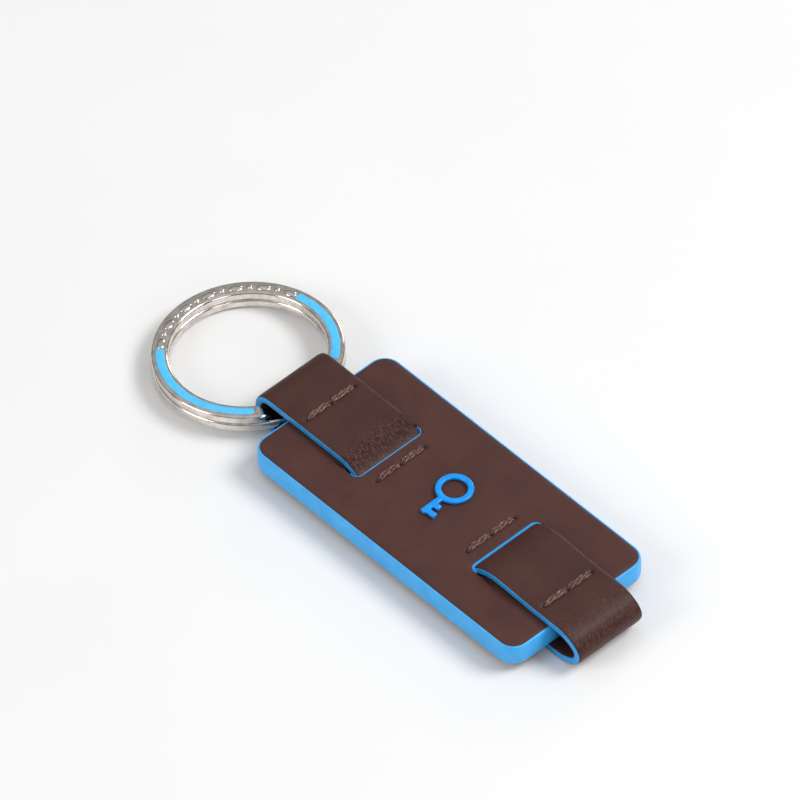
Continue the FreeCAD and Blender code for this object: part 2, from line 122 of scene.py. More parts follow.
# %% Lamps, room and floor
LAMPS = (  # name, place, size across, power in watts
    ("key_lamp", (0.42, 0.50, 0.75), 0.5, 6.0),
    ("fill_lamp", (-0.25, -0.75, 0.45), 0.5, 2.7),
    ("end_lamp", (0.80, -0.15, 0.35), 0.4, 1.1),
    ("back_lamp", (-0.35, 0.85, 0.32), 0.3, 1.1))
ROOM_LOW = (0.07, 0.07, 0.075, 1)
ROOM_HIGH = (1, 1, 1, 1)
ROOM_HIGH_AT = 0.95
ROOM_STRENGTH = 0.62
FLOOR_HALF = 1.5

for lamp_name, place, size, power in LAMPS:
    lamp_data = bpy.data.lights.new(lamp_name, "AREA")
    lamp_data.shape = "DISK"
    lamp_data.size = size
    lamp_data.energy = power
    lamp = bpy.data.objects.new(lamp_name, lamp_data)
    lamp.location = place
    lamp.rotation_euler = Vector(place).to_track_quat("Z", "Y").to_euler()
    bpy.context.scene.collection.objects.link(lamp)
bpy.context.scene.view_settings.view_transform = "Standard"

world = bpy.data.worlds.new("room")
bpy.context.scene.world = world
world.use_nodes = True
room_nodes = world.node_tree.nodes
room_links = world.node_tree.links
room_place = room_nodes.new("ShaderNodeTexCoord")
room_split = room_nodes.new("ShaderNodeSeparateXYZ")
room_ramp = room_nodes.new("ShaderNodeValToRGB")
room_links.new(room_place.outputs["Generated"], room_split.inputs[0])
room_links.new(room_split.outputs["Z"], room_ramp.inputs[0])
room_links.new(room_ramp.outputs[0], room_nodes["Background"].inputs["Color"])
low_end, high_end = room_ramp.color_ramp.elements
low_end.color = ROOM_LOW
high_end.position = ROOM_HIGH_AT
high_end.color = ROOM_HIGH
room_nodes["Background"].inputs["Strength"].default_value = ROOM_STRENGTH

floor_mesh = bmesh.new()
bmesh.ops.create_grid(floor_mesh, x_segments=1, y_segments=1, size=FLOOR_HALF)
floor_data = bpy.data.meshes.new("floor")
floor_mesh.to_mesh(floor_data)
floor_mesh.free()
floor = bpy.data.objects.new("floor", floor_data)
bpy.context.scene.collection.objects.link(floor)

# %% [markdown]
# ## Helpers for materials
# A finish is a small node tree. These helpers keep each finish to a few lines: they add textures
# on the piece's own coordinates, turn them into colours and chain their bumps. Textures are given
# in features per millimetre. Colours are linear.


# %% Material helpers
class Finish:
    """A material with short ways to add nodes and join them."""

    def __init__(self, name, roughness=0.5, metallic=0.0, coat=0.0, specular=0.5, place=None):
        self.material = bpy.data.materials.new(name)
        self.material.use_nodes = True
        self.tree = self.material.node_tree
        self.shader = self.tree.nodes["Principled BSDF"]
        self.shader.inputs["Roughness"].default_value = roughness
        self.shader.inputs["Metallic"].default_value = metallic
        self.shader.inputs["Coat Weight"].default_value = coat
        self.shader.inputs["Specular IOR Level"].default_value = specular
        if place:
            self.place = self.attribute(place, "Vector")
        else:
            self.place = self.node("ShaderNodeTexCoord").outputs["Object"]
        self.bumps = None

    def node(self, kind, **inputs):
        made = self.tree.nodes.new(kind)
        for name, value in inputs.items():
            made.inputs[name.replace("_", " ")].default_value = value
        return made

    def join(self, source, target):
        self.tree.links.new(source, target)

    def feed(self, socket, value):
        """Sets a socket: to another node's output, to a colour or to a number."""
        if hasattr(value, "is_linked"):
            self.join(value, socket)
        else:
            socket.default_value = (*value, 1) if isinstance(value, tuple) else value

    def attribute(self, name, output="Fac"):
        made = self.tree.nodes.new("ShaderNodeAttribute")
        made.attribute_name = name
        return made.outputs[output]

    def times(self, first, second):
        made = self.tree.nodes.new("ShaderNodeMath")
        made.operation = "MULTIPLY"
        for socket, value in zip(made.inputs, (first, second)):
            self.feed(socket, value)
        return made.outputs[0]

    def scaled(self, x, y, z):
        """The piece's coordinates, stretched so that a texture's grain runs one way."""
        mapping = self.node("ShaderNodeMapping")
        mapping.inputs["Scale"].default_value = (x, y, z)
        self.join(self.place, mapping.inputs["Vector"])
        return mapping.outputs[0]

    def noise(self, per_mm, detail=3.0, roughness=0.55, along=None):
        texture = self.node("ShaderNodeTexNoise", Scale=per_mm / MM, Detail=detail, Roughness=roughness)
        self.join(along or self.place, texture.inputs["Vector"])
        return texture.outputs["Fac"]

    def cells(self, per_mm):
        texture = self.node("ShaderNodeTexVoronoi", Scale=per_mm / MM)
        self.join(self.place, texture.inputs["Vector"])
        return texture.outputs["Distance"]

    def ramp(self, source, stops):
        made = self.node("ShaderNodeValToRGB")
        elements = made.color_ramp.elements
        while len(elements) < len(stops):
            elements.new(0.5)
        for element, (position, color) in zip(elements, stops):
            element.position = position
            element.color = (*color, 1)
        self.join(source, made.inputs["Fac"])
        return made.outputs["Color"]

    def grey(self, source, low, high, out_low, out_high):
        made = self.node("ShaderNodeMapRange")
        ends = {"From Min": low, "From Max": high, "To Min": out_low, "To Max": out_high}
        for name, value in ends.items():
            made.inputs[name].default_value = value
        self.join(source, made.inputs["Value"])
        return made.outputs["Result"]

    def mix(self, amount, first, second, blend="MIX"):
        made = self.tree.nodes.new("ShaderNodeMix")
        made.data_type = "RGBA"
        made.blend_type = blend
        for index, value in ((0, amount), (6, first), (7, second)):
            self.feed(made.inputs[index], value)
        return made.outputs[2]

    def bump(self, height, strength, depth):
        made = self.node("ShaderNodeBump", Strength=strength, Distance=depth)
        self.join(height, made.inputs["Height"])
        if self.bumps:
            self.join(self.bumps, made.inputs["Normal"])
        self.bumps = made.outputs["Normal"]
        self.join(self.bumps, self.shader.inputs["Normal"])

    def color(self, source):
        self.join(source, self.shader.inputs["Base Color"])

    def roughness(self, source):
        self.join(source, self.shader.inputs["Roughness"])


# %% [markdown]
# ## Leather
# The fob is a smooth, dark brown calf leather. Up close it has fine pores, a soft mottle from the
# dye and a low sheen. The strap is the same hide, waxed a little more, so it shines where it bends.
# Three values stored on the mesh steer it: "flat" is the place on the unbent strap, so the grain
# follows the bends; "wrinkle" says where fine pleats run and how much painted light and shade they get;
# "pierced" says where painted shade darkens the needle's holes.
# Pleats run along the strap, crowded side by side where it is squeezed into its slot. Their
# ridges get a painted highlight and their valleys painted shade, which also darkens the strap where it
# dives into its slot; the skin between them has less sheen.


# %% Leather finish
SHEEN = 0.28
PLEAT_SHEEN = 0.10
# Painted shade: a near black for the inside of each needle hole, which is only a dent in the mesh.
HOLE_SHADE_TONE = (0.006, 0.002, 0.002)


def leather_finish(name, dark, light, gloss, place=None):
    finish = Finish(name, roughness=gloss, specular=SHEEN, place=place)
    mottle = finish.noise(0.16, detail=4.0)
    speckle = finish.noise(3.2, detail=3.0, roughness=0.6)
    pores = finish.cells(2.6)
    tone = finish.ramp(mottle, [(0.3, dark), (0.7, light)])
    fleck = finish.ramp(speckle, [(0.36, (0.72, 0.70, 0.70)), (0.54, (1, 1, 1))])
    pore_dark = finish.ramp(pores, [(0.0, (0.6, 0.56, 0.56)), (0.22, (1, 1, 1))])
    colour = finish.mix(0.4, tone, fleck, "MULTIPLY")
    colour = finish.mix(0.4, colour, pore_dark, "MULTIPLY")
    wrinkle = finish.attribute("wrinkle")
    pleats = finish.noise(1.0, detail=3.0, roughness=0.65, along=finish.scaled(1.5, 4.6, 1.0))
    # Painted light and shade: this ramp makes the pleats' ridges up to 2.3 times brighter as a painted
    # highlight, makes their valleys darker as painted shade, and darkens the strap overall where it
    # dives into its slot.
    pleat_painted_light = finish.ramp(pleats, [(0.40, (0.14, 0.12, 0.12)), (0.50, (0.5, 0.48, 0.48)),
                                      (0.60, (2.3, 2.2, 2.2))])
    colour = finish.mix(finish.times(wrinkle, 0.9), colour, pleat_painted_light, "MULTIPLY")
    colour = finish.mix(finish.attribute("pierced"), colour, HOLE_SHADE_TONE)
    finish.color(colour)
    sheen = finish.grey(wrinkle, 0.0, 1.0, SHEEN, PLEAT_SHEEN)
    finish.join(sheen, finish.shader.inputs["Specular IOR Level"])
    finish.roughness(finish.grey(speckle, 0.3, 0.7, gloss - 0.04, gloss + 0.1))
    finish.bump(finish.noise(0.9, detail=2.0), 0.2, 0.08 * MM)
    finish.bump(pores, 0.3, 0.04 * MM)
    finish.bump(speckle, 0.25, 0.04 * MM)
    finish.bump(finish.times(pleats, wrinkle), 0.9, 0.35 * MM)
    return finish.material


FOB_LEATHER = leather_finish(
    "fob_calf_leather", (0.068, 0.025, 0.020), (0.083, 0.031, 0.025), 0.5)
STRAP_LEATHER = leather_finish(
    "strap_calf_leather", (0.055, 0.021, 0.016), (0.071, 0.027, 0.021), 0.4, "flat")


# %% [markdown]
# ## Edge paint, thread, lacquer, metal and enamel
# Edge paint is laid on in coats and dries with a satin skin and faint ripples. The thread is waxed.
# The emblem's lacquer and the ring's enamel have a thin clear coat over their colour. The ring is
# nickel: its tone is slightly warm and clouded, and its polish is broken by very fine scratches.

# %% Other finishes
def paint_finish(name, low, high):
    finish = Finish(name, roughness=0.4, coat=0.1, specular=0.4)
    cloud = finish.noise(0.35, detail=3.0)
    finish.color(finish.ramp(cloud, [(0.3, low), (0.7, high)]))
    finish.roughness(finish.grey(finish.noise(1.4), 0.3, 0.7, 0.3, 0.46))
    finish.bump(finish.noise(1.1, detail=2.0), 0.25, 0.08 * MM)
    return finish.material


def thread_finish():
    finish = Finish("waxed_thread", roughness=0.48, specular=0.4)
    fibre = finish.noise(4.2, detail=4.0, along=finish.scaled(2.0, 0.4, 2.0))
    finish.color(finish.ramp(fibre, [(0.34, (0.030, 0.010, 0.008)), (0.5, (0.105, 0.042, 0.034)),
                                     (0.66, (0.40, 0.22, 0.18))]))
    finish.bump(fibre, 0.7, 0.10 * MM)
    return finish.material


def lacquer_finish():
    finish = Finish("blue_lacquer", roughness=0.3, coat=0.2, specular=0.35)
    finish.shader.inputs["Coat Roughness"].default_value = 0.08
    cloud = finish.noise(0.8, detail=2.0)
    finish.color(finish.ramp(cloud, [(0.3, (0.0, 0.27, 0.80)), (0.7, (0.0, 0.34, 0.93))]))
    finish.bump(finish.noise(2.0, detail=1.0), 0.12, 0.05 * MM)
    return finish.material


def metal_finish(name, tone, dark, rough):
    finish = Finish(name, roughness=rough, metallic=1.0)
    cloud = finish.noise(0.6, detail=3.0)
    hairs = finish.noise(9.0, detail=5.0, roughness=0.7)
    finish.color(finish.ramp(cloud, [(0.35, dark), (0.6, tone)]))
    finish.roughness(finish.grey(hairs, 0.3, 0.7, rough - 0.04, rough + 0.08))
    finish.bump(hairs, 0.08, 0.02 * MM)
    return finish.material


def enamel_finish():
    finish = Finish("sky_enamel", roughness=0.38, coat=0.15, specular=0.3)
    finish.shader.inputs["Coat Roughness"].default_value = 0.15
    cloud = finish.noise(0.9, detail=3.0)
    finish.color(finish.ramp(cloud, [(0.3, (0.075, 0.52, 0.92)), (0.7, (0.105, 0.60, 1.0))]))
    finish.bump(finish.noise(1.6, detail=1.0), 0.12, 0.05 * MM)
    return finish.material


def board_finish():
    finish = Finish("pressed_board", roughness=0.8)
    fibre = finish.noise(2.5, detail=5.0, along=finish.scaled(0.4, 1.0, 1.0))
    finish.color(finish.ramp(fibre, [(0.3, (0.16, 0.10, 0.06)), (0.7, (0.30, 0.21, 0.13))]))
    finish.bump(fibre, 0.4, 0.1 * MM)
    return finish.material


def floor_finish():
    finish = Finish("pale_floor", roughness=0.6)
    finish.color(finish.ramp(finish.noise(0.02), [(0.3, (0.86, 0.86, 0.86)), (0.7, (0.88, 0.88, 0.88))]))
    return finish.material


EDGE_PAINT = paint_finish("fob_edge_paint_blue", (0.035, 0.38, 0.84), (0.055, 0.45, 0.92))
STRAP_PAINT = paint_finish("strap_edge_paint_blue", (0.014, 0.27, 0.68), (0.028, 0.36, 0.78))
THREAD = thread_finish()
LACQUER = lacquer_finish()
NICKEL = metal_finish(
    "polished_nickel", (0.80, 0.75, 0.69), (0.60, 0.56, 0.51), 0.11)
ENAMEL = enamel_finish()
BOARD = board_finish()
PLATE_STEEL = metal_finish("plate_steel", (0.5, 0.5, 0.5), (0.4, 0.4, 0.4), 0.35)
floor.data.materials.append(floor_finish())


# %% [markdown]
# ## Helpers for meshes
# Leather pieces and inlays start as a flat slab, like the hide before it is bent. A slab is easy
# to cut, round and dent, and one function then lays it where it belongs.

# %% Mesh helpers
TINY = 1e-7


def finish_piece(name, mesh, material, body, stands_for=()):
    """Turns a bmesh into a piece that rides on a body and stands for its CAD nodes."""
    data = bpy.data.meshes.new(name)
    mesh.to_mesh(data)
    mesh.free()
    return dress_piece(name, data, material, body, stands_for)


def dress_piece(name, data, material, body, stands_for=()):
    """The same from a finished mesh. A blended strap has no single body, so body is None for it."""
    data.materials.append(material)
    for face in data.polygons:
        face.use_smooth = True
    piece = bpy.data.objects.new(name, data)
    bpy.context.scene.collection.objects.link(piece)
    if body:
        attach(piece, body)
    if stands_for:
        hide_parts(*stands_for)
    print(name, len(data.polygons), "faces")
    return piece


def edges_of(geometry):
    return [item for item in geometry if isinstance(item, bmesh.types.BMEdge)]


def verts_of(geometry):
    return [item for item in geometry if isinstance(item, bmesh.types.BMVert)]


def everything(mesh):
    return mesh.verts[:] + mesh.edges[:] + mesh.faces[:]


def extruded(mesh, edges, way):
    """Draws a section's edges out along way. Returns the edges at the far end."""
    made = bmesh.ops.extrude_edge_only(mesh, edges=edges)["geom"]
    bmesh.ops.translate(mesh, verts=verts_of(made), vec=way)
    return edges_of(made)


def tidy(mesh, merge=TINY):
    bmesh.ops.remove_doubles(mesh, verts=mesh.verts[:], dist=merge)
    bmesh.ops.recalc_face_normals(mesh, faces=mesh.faces[:])


def slab(length, width, step):
    """A flat grid on z = 0, middle at the origin."""
    mesh = bmesh.new()
    bmesh.ops.create_grid(mesh, x_segments=max(2, round(length / step)),
                          y_segments=max(2, round(width / step)),
                          size=0.5, matrix=Matrix.Diagonal((length, width, 1, 1)))
    return mesh


def thicken(mesh, thickness):
    """Extrudes a flat grid down, so that it becomes one closed slab."""
    made = bmesh.ops.extrude_face_region(mesh, geom=mesh.faces[:])
    bmesh.ops.translate(mesh, verts=verts_of(made["geom"]), vec=(0, 0, -thickness))
    bmesh.ops.recalc_face_normals(mesh, faces=mesh.faces[:])


def round_corner(x, y, half_length, half_width, corner):
    """Moves a point of a rectangle's corner square onto the quarter disc that rounds it."""
    over_x = (abs(x) - (half_length - corner)) / corner
    over_y = (abs(y) - (half_width - corner)) / corner
    if over_x <= 0 or over_y <= 0:
        return x, y
    new_x = over_x * math.sqrt(1 - over_y * over_y / 2)
    new_y = over_y * math.sqrt(1 - over_x * over_x / 2)
    return (math.copysign(half_length - corner + new_x * corner, x),
            math.copysign(half_width - corner + new_y * corner, y))


def ripple(x, y, z, per_mm, depth):
    """Smooth, repeatable unevenness of a hand-made surface."""
    return noise.noise(Vector((x, y, z)) * per_mm / MM) * depth


def hill(distance, width):
    """1 at distance 0, smoothly down to almost nothing at twice the width."""
    return math.exp(-(distance / width) ** 2)


# %% [markdown]
# ## Where the needle went
# Four rows of three holes hold the strap. The thread pulls the leather down, so each hole sits
# in a small dent and each row in a shallow valley. The same list drives dents and stitches.

# %% Stitch rows
PITCH = 5.3 * MM
HOLES = (-1, 0, 1)
HOLE_DEPTH = 0.4 * MM
HOLE_REACH = 0.4 * MM
# How far the painted shade of a needle hole reaches.
HOLE_SHADE_REACH = 0.42 * MM
VALLEY_REACH = 0.75 * MM
VALLEY_END = 0.6 * MM
ROW_NAMES = ("stitches_ring_outer", "stitches_ring_inner", "stitches_loop_inner", "stitches_loop_outer")
ROW_X = {}
for row_name in ROW_NAMES:
    row_low, row_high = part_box(row_name)
    ROW_X[row_name] = (row_low[0] + row_high[0]) / 2
INNER_ROWS = [ROW_X["stitches_ring_inner"], ROW_X["stitches_loop_inner"]]
OUTER_ROWS = [ROW_X["stitches_ring_outer"], ROW_X["stitches_loop_outer"]]


def needle_dent(x, y, rows, valley):
    """How far the thread has pulled the leather down at a point."""
    depth = 0.0
    for row_x in rows:
        reach = hill(max(0.0, abs(y) - PITCH), VALLEY_END)
        depth += valley * hill(x - row_x, VALLEY_REACH) * reach
        for index in HOLES:
            depth += HOLE_DEPTH * hill(math.hypot(x - row_x, y - index * PITCH), HOLE_REACH)
    return depth


def pierced(x, y, rows):
    """1 in a needle's hole, 0 a little way off; it masks the painted shade in the holes."""
    return min(1.0, sum(hill(math.hypot(x - row_x, y - index * PITCH), HOLE_SHADE_REACH)
                        for row_x in rows for index in HOLES))


# %% [markdown]
# ## Fob panels
# Two leather panels face the fob. A panel is a slab with rounded corners. Its rim rolls down
# towards the edge paint, and the front one has two cross slots, cut with bisect planes.

# %% Fob panels
FOB_LENGTH = FOB_HIGH[0] - FOB_LOW[0]
FOB_WIDTH = FOB_HIGH[1] - FOB_LOW[1]
RIM_ROLL = 0.16 * MM
RIM_ROLL_REACH = 0.4 * MM
FOB_VALLEY = 0.03 * MM
FOB_SWELL = 0.05 * MM
SWELL_INSET = 1.5 * MM
PRESS_DEPTH = 0.34 * MM
PRESS_REACH = 1.4 * MM
FRONT_STEP = 0.3 * MM
BACK_STEP = 0.7 * MM
SLOT_OPEN = 3.5 * MM
SLOT_CORNER = 1.3 * MM
SLOT_WAY = {"ring_end": 1, "loop_end": -1}


def slot_corners(end_name):
    """The slot's low and high corners. It opens a little way back from the lip that hides the tail."""
    low, high = (Vector(corner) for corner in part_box("slot_paint_" + end_name))
    if SLOT_WAY[end_name] > 0:
        low.x = high.x - SLOT_OPEN
    else:
        high.x = low.x + SLOT_OPEN
    return low, high


def cut_slot(mesh, low, high):
    for axis, place in ((0, low[0]), (0, high[0]), (1, low[1]), (1, high[1])):
        point = [0, 0, 0]
        normal = [0, 0, 0]
        point[axis] = place
        normal[axis] = 1
        bmesh.ops.bisect_plane(mesh, geom=everything(mesh), plane_co=point, plane_no=normal, dist=TINY)
    inside = []
    for face in mesh.faces:
        middle = face.calc_center_median()
        if low[0] < middle.x < high[0] and low[1] < middle.y < high[1]:
            inside.append(face)
    bmesh.ops.delete(mesh, geom=inside, context="FACES")
    middle_x, half_x = (low[0] + high[0]) / 2, (high[0] - low[0]) / 2
    for vert in mesh.verts:
        x, y = vert.co.x - middle_x, vert.co.y
        if abs(x) < half_x + TINY and abs(y) < high[1] + TINY:
            x, y = round_corner(x, y, half_x, high[1], SLOT_CORNER)
            vert.co.x, vert.co.y = x + middle_x, y


def pressed(x, y, slots):
    """The strap presses the face down a little where it starts to dive towards its slot."""
    depth = 0.0
    for (low, high), way in slots:
        edge = low.x if way > 0 else high.x
        if abs(y) < high.y and (edge - x) * way > -1e-6:
            depth = max(depth, PRESS_DEPTH * hill(edge - x, PRESS_REACH))
    return depth


def fob_panel(slots, rows, step):
    """A panel with its middle at the origin, outer face up, and relief pressed into that face."""
    mesh = slab(FOB_LENGTH, FOB_WIDTH, step)
    for (low, high), way in slots:
        cut_slot(mesh, low, high)
    hole_layer = mesh.verts.layers.float.new("pierced")
    thicken(mesh, LEATHER)
    for vert in mesh.verts:
        on_face = vert.co.z > -LEATHER / 2
        x, y = vert.co.x, vert.co.y
        rim = min(FOB_LENGTH / 2 - abs(x), FOB_WIDTH / 2 - abs(y))
        vert.co.x, vert.co.y = round_corner(x, y, FOB_LENGTH / 2, FOB_WIDTH / 2, FOB_CORNER)
        if on_face:
            relief = -RIM_ROLL * hill(rim, RIM_ROLL_REACH)
            relief -= needle_dent(x, y, rows, FOB_VALLEY)
            relief += ripple(x, y, 0, 0.12, FOB_SWELL) * (1 - hill(rim, SWELL_INSET))
            relief -= pressed(x, y, slots)
            vert.co.z += min(relief, 0.0)
            vert[hole_layer] = pierced(x, y, rows)
    return mesh


from_middle = Vector((FOB_X, 0, 0))
front_slots = []
for end_name, way in SLOT_WAY.items():
    low, high = slot_corners(end_name)
    front_slots.append(((low - from_middle, high - from_middle), way))
front = fob_panel(front_slots, [row - FOB_X for row in INNER_ROWS], FRONT_STEP)
bmesh.ops.translate(front, verts=front.verts[:], vec=(FOB_X, 0, FOB_TOP))
finish_piece("front_panel", front, FOB_LEATHER, "fob", ["front_leather"])
back = fob_panel([], [], BACK_STEP)
bmesh.ops.rotate(back, verts=back.verts[:], cent=(0, 0, 0), matrix=Matrix.Rotation(math.pi, 3, "X"))
bmesh.ops.translate(back, verts=back.verts[:], vec=(FOB_X, 0, BACK_FACE))
finish_piece("back_panel", back, FOB_LEATHER, "fob", ["back_leather"])

# %% [markdown]
# ## Painted edge of the fob
# The paint hides the three layers behind one rounded blue wall. It is swept like a maker's
# brush: a flattened oval section is spun round each corner and extruded along each side.

# %% Edge band
BAND = BAND_HIGH[1] - FOB_HIGH[1]
BAND_TUCK = 0.13 * MM
BAND_WEAR = 0.035 * MM
BAND_SQUARE = 1.5
OVAL_SIDES = 28
BAND_STEPS = (14, 60)  # round each corner, along each side


def oval_section(mesh, half_depth, half_height, square, sides):
    """An upright oval in the YZ plane. A square above 1 makes it boxier."""
    made = bmesh.ops.create_circle(mesh, segments=sides, radius=1)
    for vert in made["verts"]:
        across, up = vert.co.x, vert.co.y
        across = math.copysign(abs(across) ** (1 / square), across)
        up = math.copysign(abs(up) ** (1 / square), up)
        vert.co = Vector((0, across * half_depth, up * half_height))
    return made["verts"], mesh.edges[:]


def swept_frame(half_length, half_width, corner, oval, turn_steps, side_steps):
    """A closed frame: an oval goes once round a rounded rectangle, middle at the origin.

    The oval is its half depth, its half height and how square it is.
    """
    mesh = bmesh.new()
    verts, edges = oval_section(mesh, *oval, OVAL_SIDES)
    bmesh.ops.translate(mesh, verts=verts, vec=(half_length - corner, half_width, 0))
    heading = Vector((1, 0, 0))
    centre = Vector((half_length - corner, half_width - corner, 0))
    runs = [2 * (half_width - corner), 2 * (half_length - corner)] * 2
    for run in runs:
        made = bmesh.ops.spin(mesh, geom=edges, cent=centre, axis=(0, 0, 1),
                              angle=-math.pi / 2, steps=turn_steps)
        edges = edges_of(made["geom_last"])
        heading = Matrix.Rotation(-math.pi / 2, 3, "Z") @ heading
        for _ in range(side_steps):
            edges = extruded(mesh, edges, heading * run / side_steps)
        centre = centre + heading * run
    tidy(mesh, 1e-6)
    return mesh


band_oval = (BAND, (BAND_HIGH[2] - BAND_LOW[2]) / 2 - BAND_TUCK, BAND_SQUARE)
band = swept_frame(BAND_HIGH[0] - FOB_X - BAND, BAND_HIGH[1] - BAND, FOB_CORNER, band_oval, *BAND_STEPS)
for vert in band.verts:
    swell = ripple(vert.co.x, vert.co.y, vert.co.z, 0.25, BAND_WEAR)
    lean = Vector((vert.co.x, vert.co.y, 0)).normalized()
    vert.co -= lean * abs(swell)
bmesh.ops.translate(band, verts=band.verts[:], vec=(FOB_X, 0, (BAND_HIGH[2] + BAND_LOW[2]) / 2))
finish_piece("painted_fob_edge", band, EDGE_PAINT, "fob", ["fob_edge_paint"])

# %% [markdown]
# ## Slot rims
# The cut edges of the slots are painted too, as a coat that lines the wall and rolls over its
# top. The loop end's lip has had more coats, so it stands there as a thick round bead. The ring
# end's lip is a thin coat that shows only a hair of blue.

# %% Slot rims
RIM_OVALS = {"ring_end": (0.13 * MM, 0.45 * MM, 1.4), "loop_end": (0.42 * MM, 0.45 * MM, 1.8)}
RIM_REACH = 1.7 * MM
RIM_PROUD = 0.03 * MM
RIM_STEPS = (8, 12)


def trim_rim(rim, lip, way):
    """Cuts the frame off a little way behind the lip and closes its two ends."""
    made = bmesh.ops.bisect_plane(rim, geom=everything(rim), dist=TINY, clear_outer=True,
                                  plane_co=(lip - way * RIM_REACH, 0, 0), plane_no=(-way, 0, 0))
    bmesh.ops.holes_fill(rim, edges=edges_of(made["geom_cut"]), sides=0)
    tidy(rim)


for end_name, rim_oval in RIM_OVALS.items():
    coat, half_height = rim_oval[:2]
    low, high = slot_corners(end_name)
    rim = swept_frame((high.x - low.x) / 2 - coat, high.y - coat, SLOT_CORNER - coat,
                      rim_oval, *RIM_STEPS)
    rim_z = FOB_TOP - half_height + RIM_PROUD
    bmesh.ops.translate(rim, verts=rim.verts[:], vec=((low.x + high.x) / 2, 0, rim_z))
    way = SLOT_WAY[end_name]
    trim_rim(rim, high.x if way > 0 else low.x, way)
    finish_piece("slot_rim_" + end_name, rim, STRAP_PAINT, "fob", ["slot_paint_" + end_name])

# %% [markdown]
# ## The strap
# One strap runs right round the fob, from the tail in the ring-end slot to the tail in the
# loop-end slot. The frame has it as three stretches, because the one round the ring bends. The
# route is a few corners in side view, each with a bend radius. The slab's length runs along the
# route and its thickness stands square to it.


# %% Strap route
SOFT_REACH = 8
ROUTE_STEP = 0.12 * MM


class Route:
    """Points and directions along straight runs and tangent arcs in the XZ plane."""

    def __init__(self, corners, step=ROUTE_STEP):
        self.places = []
        start = Vector(corners[0][:2])
        for before, here, after in zip(corners, corners[1:], corners[2:]):
            corner = Vector(here[:2])
            bend = here[2]
            inward = (corner - Vector(before[:2])).normalized()
            outward = (Vector(after[:2]) - corner).normalized()
            turn = math.atan2(inward.x * outward.y - inward.y * outward.x, inward.dot(outward))
            reach = bend * math.tan(abs(turn) / 2)
            self.run(start, corner - inward * reach, step)
            side = math.copysign(1, turn)
            centre = corner - inward * reach + Vector((-inward.y, inward.x)) * side * bend
            spoke = corner - inward * reach - centre
            count = max(2, round(bend * abs(turn) / step))
            for index in range(count):
                spin = Matrix.Rotation(turn * index / count, 2)
                self.places.append((centre + spin @ spoke, (spin @ inward).normalized()))
            start = corner + outward * reach
        self.run(start, Vector(corners[-1][:2]), step)
        self.places.append((Vector(corners[-1][:2]), self.places[-1][1]))
        self.soften()
        self.along = [0.0]
        for first, second in zip(self.places, self.places[1:]):
            self.along.append(self.along[-1] + (second[0] - first[0]).length)
        self.length = self.along[-1]

    def soften(self):
        """Averages each place with its neighbours, so that runs pass into bends without a hard line."""
        soft = []
        for index in range(len(self.places)):
            reach = min(SOFT_REACH, index, len(self.places) - 1 - index)
            near = self.places[index - reach:index + reach + 1]
            place = sum((item[0] for item in near), Vector((0, 0))) / len(near)
            soft.append((place, sum((item[1] for item in near), Vector((0, 0))).normalized()))
        self.places = soft

    def run(self, start, end, step):
        length = (end - start).length
        count = max(1, round(length / step))
        heading = (end - start).normalized()
        for index in range(count):
            self.places.append((start + heading * length * index / count, heading))

    def at(self, distance):
        """The point at a distance along the route, and the direction there."""
        distance = min(max(distance, 0.0), self.length)
        low, high = 0, len(self.along) - 1
        while high - low > 1:
            middle = (low + high) // 2
            if self.along[middle] <= distance:
                low = middle
            else:
                high = middle
        gap = self.along[high] - self.along[low]
        part = (distance - self.along[low]) / gap if gap else 0.0
        place = self.places[low][0].lerp(self.places[high][0], part)
        heading = self.places[low][1].lerp(self.places[high][1], part).normalized()
        return place, heading


HALF = STRAP_THICK / 2
TOP_RUN = FOB_TOP + HALF
LOW_RUN = HALF
TAIL = FOB_TOP - LEATHER - HALF
MID = (TOP_RUN + LOW_RUN) / 2


def at_fob(x, z, bend=0.0):
    """A route corner, with x in millimetres from the fob's middle."""
    return (FOB_X + x * MM, z, bend * MM)


HUMP = TOP_RUN + 0.38 * MM
RING_TURN = RING_LOOP_START + HALF
RING_BEND = 2.3 * MM
NOSE_START = 34.4
ring_end_tail = [at_fob(-8.4, TAIL), at_fob(-12.97, TAIL, 1.3), at_fob(-16.45, TOP_RUN, 6.0)]
round_the_ring = [(RING_TURN, TOP_RUN, RING_BEND), (RING_TURN, LOW_RUN, RING_BEND)]
nose = [at_fob(NOSE_START, LOW_RUN, 6.0), at_fob(39.5, MID, 1.9), at_fob(NOSE_START, TOP_RUN, 6.0)]
rise = [at_fob(26.5, TOP_RUN, 30.0), at_fob(20.5, HUMP, 30.0), at_fob(15.75, HUMP, 7.0)]
loop_end_tail = [at_fob(11.87, TAIL, 1.3), at_fob(7.3, TAIL)]
strap_route = Route(ring_end_tail + round_the_ring + nose + rise + loop_end_tail)
print("strap length in mm", round(strap_route.length / MM, 1))

# %% [markdown]
# ## Strap leather
# The slab is bent along its route. Its outer side has the needle's dents, edges that roll down
# to the paint, and the fine creases that leather gets across itself where it turns. Creases are
# deepest in the bends and fade out before the edges. The painted bead along each long edge is an
# oval, a little lower than the leather, so the brown runs on over it to the last hair.


# %% Strap
LEATHER_WIDE = STRAP_WIDTH - 0.2 * MM
PAINT_DEEP = 0.25 * MM
PAINT_HIGH = HALF * 0.78
PAINT_SQUARE = 2.2
PAINT_SIDES = 20
PAINT_WEAR = 0.12
STRAP_STEP = 0.3 * MM
CREASE_DEPTH = 0.06 * MM
CREASE_WANDER = 0.6 * MM
FLAT_CREASE = 0.1
STRAP_VALLEY = 0.04 * MM
EDGE_ROLLS = ((0.04 * MM, 0.5 * MM), (0.09 * MM, 0.4 * MM))  # depth, reach
BEND_REACH = 0.6 * MM
FULL_BEND = 0.3


